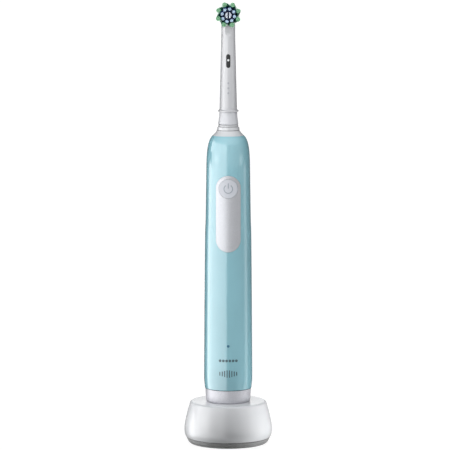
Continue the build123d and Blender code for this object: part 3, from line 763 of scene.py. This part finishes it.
def studio_wall():
    """Round wall of soft boxes and dark flags, one pattern low down and another above it."""
    material, tree, glow = glowing("studio_wall")
    place = tree.nodes.new("ShaderNodeTexCoord")
    turned = tree.nodes.new("ShaderNodeVectorRotate")
    turned.rotation_type = "Z_AXIS"
    turned.inputs["Angle"].default_value = math.pi / 2
    tree.links.new(place.outputs["Object"], turned.inputs["Vector"])
    round_wall = tree.nodes.new("ShaderNodeTexGradient")
    round_wall.gradient_type = "RADIAL"
    tree.links.new(turned.outputs["Vector"], round_wall.inputs["Vector"])
    height = tree.nodes.new("ShaderNodeSeparateXYZ")
    tree.links.new(place.outputs["Object"], height.inputs["Vector"])
    rise = tree.nodes.new("ShaderNodeMapRange")
    rise.inputs["From Min"].default_value = WALL_SPLIT - 0.01
    rise.inputs["From Max"].default_value = WALL_SPLIT + 0.01
    tree.links.new(height.outputs["Z"], rise.inputs["Value"])
    either = tree.nodes.new("ShaderNodeMix")
    either.data_type = "RGBA"
    tree.links.new(rise.outputs["Result"], either.inputs["Factor"])
    tree.links.new(light_ramp(tree, round_wall.outputs["Fac"], WALL_LOW), either.inputs["A"])
    tree.links.new(light_ramp(tree, round_wall.outputs["Fac"], WALL_HIGH), either.inputs["B"])
    glow.inputs["Strength"].default_value = WALL_BRIGHTEST
    tree.links.new(either.outputs["Result"], glow.inputs["Color"])
    round_sheet("studio_wall", WALL_RADIUS, WALL_FOOT, WALL_TOP, -180, 180, material)


def soft_boxes():
    """Boxes that only show as reflections, on the neck and on the shell's shoulder."""
    for index, (name, near, far, low, high, light) in enumerate(SOFT_BOXES):
        material, _, glow = glowing(name)
        glow.inputs["Strength"].default_value = light
        box = round_sheet(name, WALL_RADIUS - 0.01 * (index + 1), low, high, near, far, material, 16)
        box.visible_diffuse = False


def head_card():
    """Bright card above and in front of the brush head that lights the filament tips."""
    material, _, glow = glowing("head_card")
    glow.inputs["Strength"].default_value = HEAD_CARD_LIGHT
    near, far = HEAD_CARD_REACH
    card = round_sheet("head_card", HEAD_CARD_RADIUS, HEAD_CARD_LOW, HEAD_CARD_HIGH, near, far, material, 12)
    card.visible_glossy = False


def front_flag():
    """Black card close in front of the charger that shades the lower middle of it."""
    material, _, glow = glowing("front_flag")
    glow.inputs["Strength"].default_value = 0.0
    flag = round_sheet("front_flag", FLAG_RADIUS, 0.0, FLAG_TOP, FLAG_REACH[0], FLAG_REACH[1], material, 12)
    flag.visible_glossy = False


def low_cards():
    """Small bright cards near the floor that light the charger's two sides."""
    for side, light in ((-1, LEFT_CARD_LIGHT), (1, RIGHT_CARD_LIGHT)):
        material, _, glow = glowing("low_card")
        glow.inputs["Strength"].default_value = light
        near, far = sorted(side * reach for reach in CARD_REACH)
        card = round_sheet("low_card", CARD_RADIUS, 0.0, CARD_TOP, near, far, material, 12)
        card.visible_glossy = False


def plane(name, size, height, material):
    mesh = bpy.data.meshes.new(name)
    corners = [(-size, -size, height), (size, -size, height), (size, size, height), (-size, size, height)]
    mesh.from_pydata(corners, [], [(0, 1, 2, 3)])
    mesh.materials.append(material)
    made = bpy.data.objects.new(name, mesh)
    bpy.context.scene.collection.objects.link(made)
    return made


def floor():
    """Pale floor that only the camera sees, and one under it that sends light back up.

    The second one is dark before the object and pale behind it and beside it.
    """
    pale = Recipe("pale_floor")
    pale.set(Base_Color=(0.12, 0.12, 0.12, 1), Roughness=0.8, Specular_IOR_Level=0.1)
    pale.set(Emission_Color=(1, 1, 1, 1))
    distance = pale.node("ShaderNodeVectorMath", operation="LENGTH")
    pale.link(pale.coordinates, distance.inputs[0])
    fade = pale.node("ShaderNodeMapRange")
    fade.inputs["From Min"].default_value = 0.06
    fade.inputs["From Max"].default_value = 0.45
    fade.inputs["To Min"].default_value = FLOOR_GLOW_NEAR
    fade.inputs["To Max"].default_value = 1.0
    pale.link(distance.outputs["Value"], fade.inputs["Value"])
    pale.link(fade.outputs["Result"], pale.shader.inputs["Emission Strength"])
    seen = plane("floor", FLOOR_SIZE, 0.0, pale.material)
    seen.visible_diffuse = False
    seen.visible_glossy = False
    grey = Recipe("bounce_floor")
    grey.set(Roughness=0.9, Specular_IOR_Level=0.0)
    parts = grey.node("ShaderNodeSeparateXYZ")
    grey.link(grey.coordinates, parts.inputs["Vector"])
    aside = grey.node("ShaderNodeMath", operation="ABSOLUTE")
    grey.link(parts.outputs["X"], aside.inputs[0])
    reach = grey.node("ShaderNodeMath", operation="MULTIPLY_ADD")
    reach.inputs[1].default_value = BOUNCE_ASIDE
    grey.link(aside.outputs["Value"], reach.inputs[0])
    grey.link(parts.outputs["Y"], reach.inputs[2])
    spread = grey.node("ShaderNodeMapRange")
    spread.inputs["From Min"].default_value = -0.10
    spread.inputs["From Max"].default_value = 0.10
    grey.link(reach.outputs["Value"], spread.inputs["Value"])
    grey.colour(grey.ramp(spread.outputs["Result"], (0.0, [BOUNCE_FRONT] * 3), (1.0, [BOUNCE_BACK] * 3)))
    under = plane("bounce_floor", BOUNCE_SIZE, -0.002, grey.material)
    under.visible_camera = False
    under.visible_glossy = False


def camera():
    """Long lens a little above the object, looking slightly down."""
    data = bpy.data.cameras.new("camera")
    data.sensor_width = 36.0
    data.lens = LENS
    data.clip_end = 50.0
    eye = bpy.data.objects.new("camera", data)
    eye.location = EYE
    eye.rotation_euler = (math.radians(90 - LOOKING_DOWN), 0, 0)
    bpy.context.scene.collection.objects.link(eye)
    bpy.context.scene.camera = eye


bpy.context.scene.view_settings.view_transform = "Standard"
paint_nodes()
handle_marks()
power_icon()
neck_marks()
seam_shade_rings()
outer_tufts()
middle_tufts()
centre_tufts()
studio_world()
studio_wall()
soft_boxes()
head_card()
front_flag()
low_cards()
floor()
camera()
